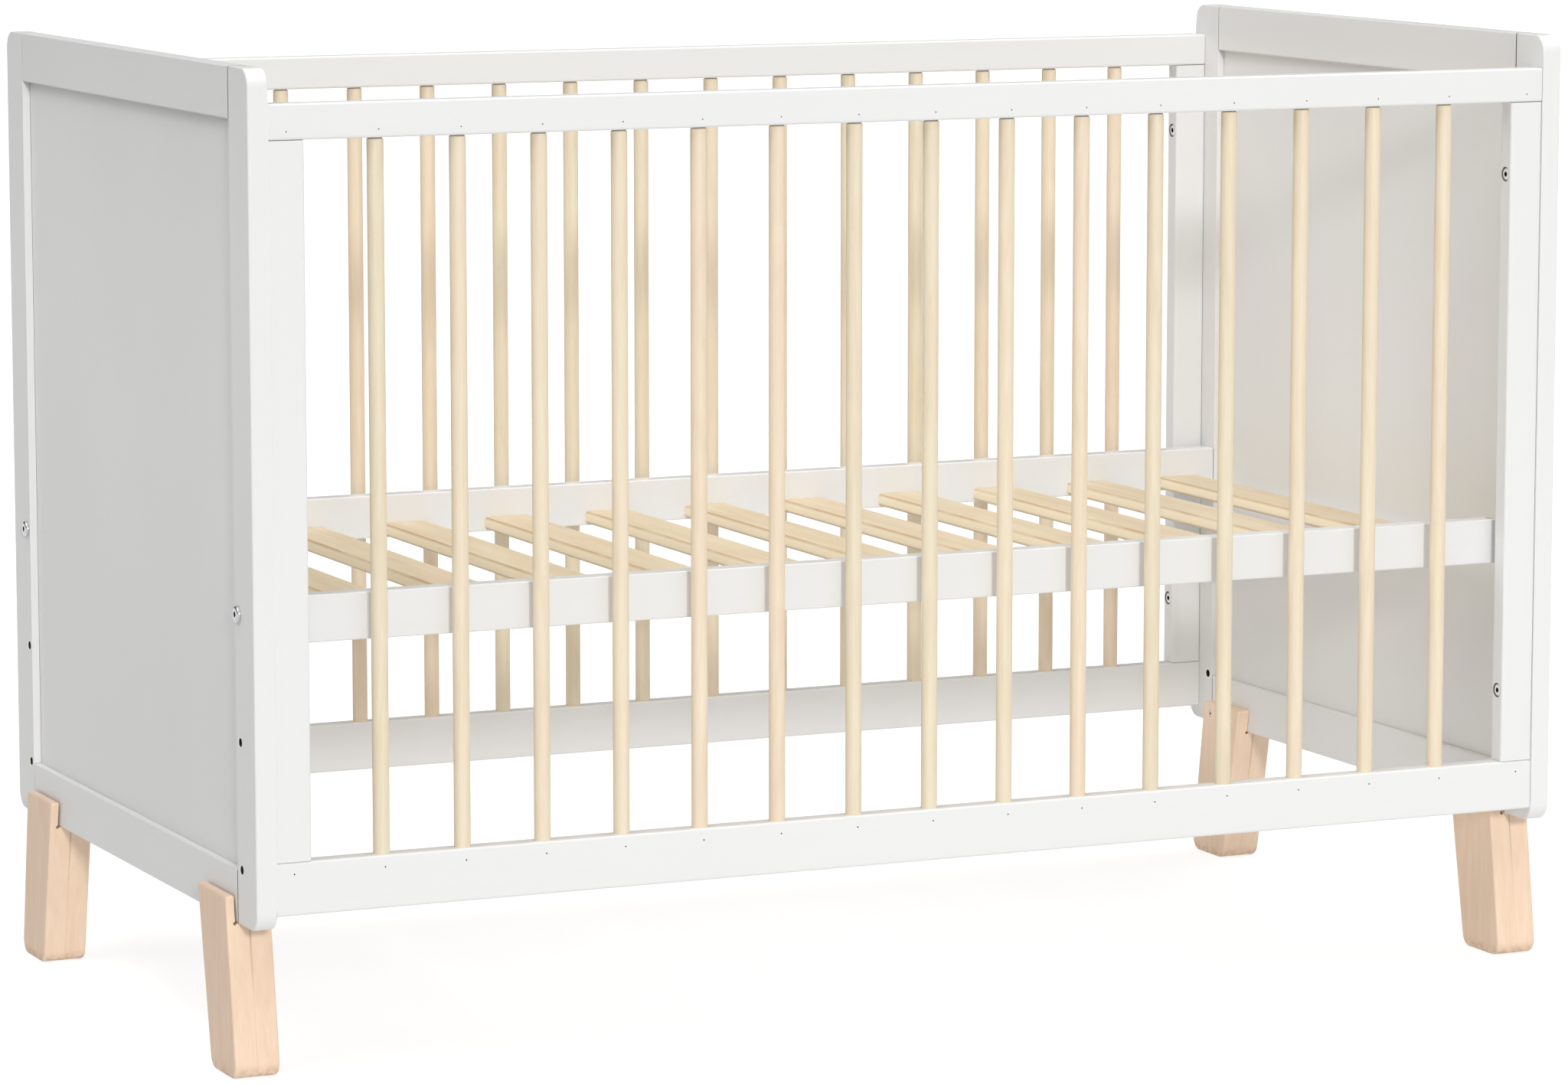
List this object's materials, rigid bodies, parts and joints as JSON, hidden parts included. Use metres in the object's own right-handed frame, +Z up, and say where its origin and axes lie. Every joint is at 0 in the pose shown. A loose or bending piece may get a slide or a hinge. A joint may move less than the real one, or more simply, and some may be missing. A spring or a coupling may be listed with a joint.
{
  "type": "baby crib",
  "caption": "Baby crib with framed panel ends, sides of round wooden spindles, a slatted mattress base that bolts at different heights, and splayed wooden legs forked over the ends.",
  "frame": {"origin": "on the floor under the middle of the crib", "axes": "+X along the crib's length from the left end to the right end, +Y from the front side to the rear side, +Z up"},
  "size_m": [1.258, 0.65, 0.842],
  "materials": {
    "frame_white": "white satin lacquer on solid boards",
    "panel_white": "white satin lacquer on thin board",
    "spindle_wood": "pale natural wood, clear lacquer",
    "slat_wood": "natural pine, planed and untreated",
    "leg_wood": "natural beech, clear satin lacquer",
    "bolt_chrome": "bright zinc or chrome plate"
  },
  "bodies": {
    "crib_frame": {"end_left_post_front": "frame_white", "end_left_post_rear": "frame_white", "end_left_top_rail": "frame_white", "end_left_bottom_rail": "frame_white", "end_left_panel": "panel_white", "end_right_post_front": "frame_white", "end_right_post_rear": "frame_white", "end_right_top_rail": "frame_white", "end_right_bottom_rail": "frame_white", "end_right_panel": "panel_white", "side_front_top_rail": "frame_white", "side_front_bottom_rail": "frame_white", "side_front_stile_left": "frame_white", "side_front_stile_right": "frame_white", "spindle_front_01": "spindle_wood", "spindle_front_02": "spindle_wood", "spindle_front_03": "spindle_wood", "spindle_front_04": "spindle_wood", "spindle_front_05": "spindle_wood", "spindle_front_06": "spindle_wood", "spindle_front_07": "spindle_wood", "spindle_front_08": "spindle_wood", "spindle_front_09": "spindle_wood", "spindle_front_10": "spindle_wood", "spindle_front_11": "spindle_wood", "spindle_front_12": "spindle_wood", "spindle_front_13": "spindle_wood", "spindle_front_14": "spindle_wood", "spindle_front_15": "spindle_wood", "side_rear_top_rail": "frame_white", "side_rear_bottom_rail": "frame_white", "side_rear_stile_left": "frame_white", "side_rear_stile_right": "frame_white", "spindle_rear_01": "spindle_wood", "spindle_rear_02": "spindle_wood", "spindle_rear_03": "spindle_wood", "spindle_rear_04": "spindle_wood", "spindle_rear_05": "spindle_wood", "spindle_rear_06": "spindle_wood", "spindle_rear_07": "spindle_wood", "spindle_rear_08": "spindle_wood", "spindle_rear_09": "spindle_wood", "spindle_rear_10": "spindle_wood", "spindle_rear_11": "spindle_wood", "spindle_rear_12": "spindle_wood", "spindle_rear_13": "spindle_wood", "spindle_rear_14": "spindle_wood", "spindle_rear_15": "spindle_wood", "leg_front_left": "leg_wood", "base_bolt_front_left": "bolt_chrome", "leg_rear_left": "leg_wood", "base_bolt_rear_left": "bolt_chrome", "leg_front_right": "leg_wood", "base_bolt_front_right": "bolt_chrome", "leg_rear_right": "leg_wood", "base_bolt_rear_right": "bolt_chrome"},
    "mattress_base": {"base_rail_front": "frame_white", "base_rail_rear": "frame_white", "base_slats": "slat_wood"}
  },
  "joints": [
    {"name": "base_height", "type": "slide", "parent": "crib_frame", "child": "mattress_base", "axis": [0, 0, 1], "range_m": [-0.2145, 0]}
  ]
}
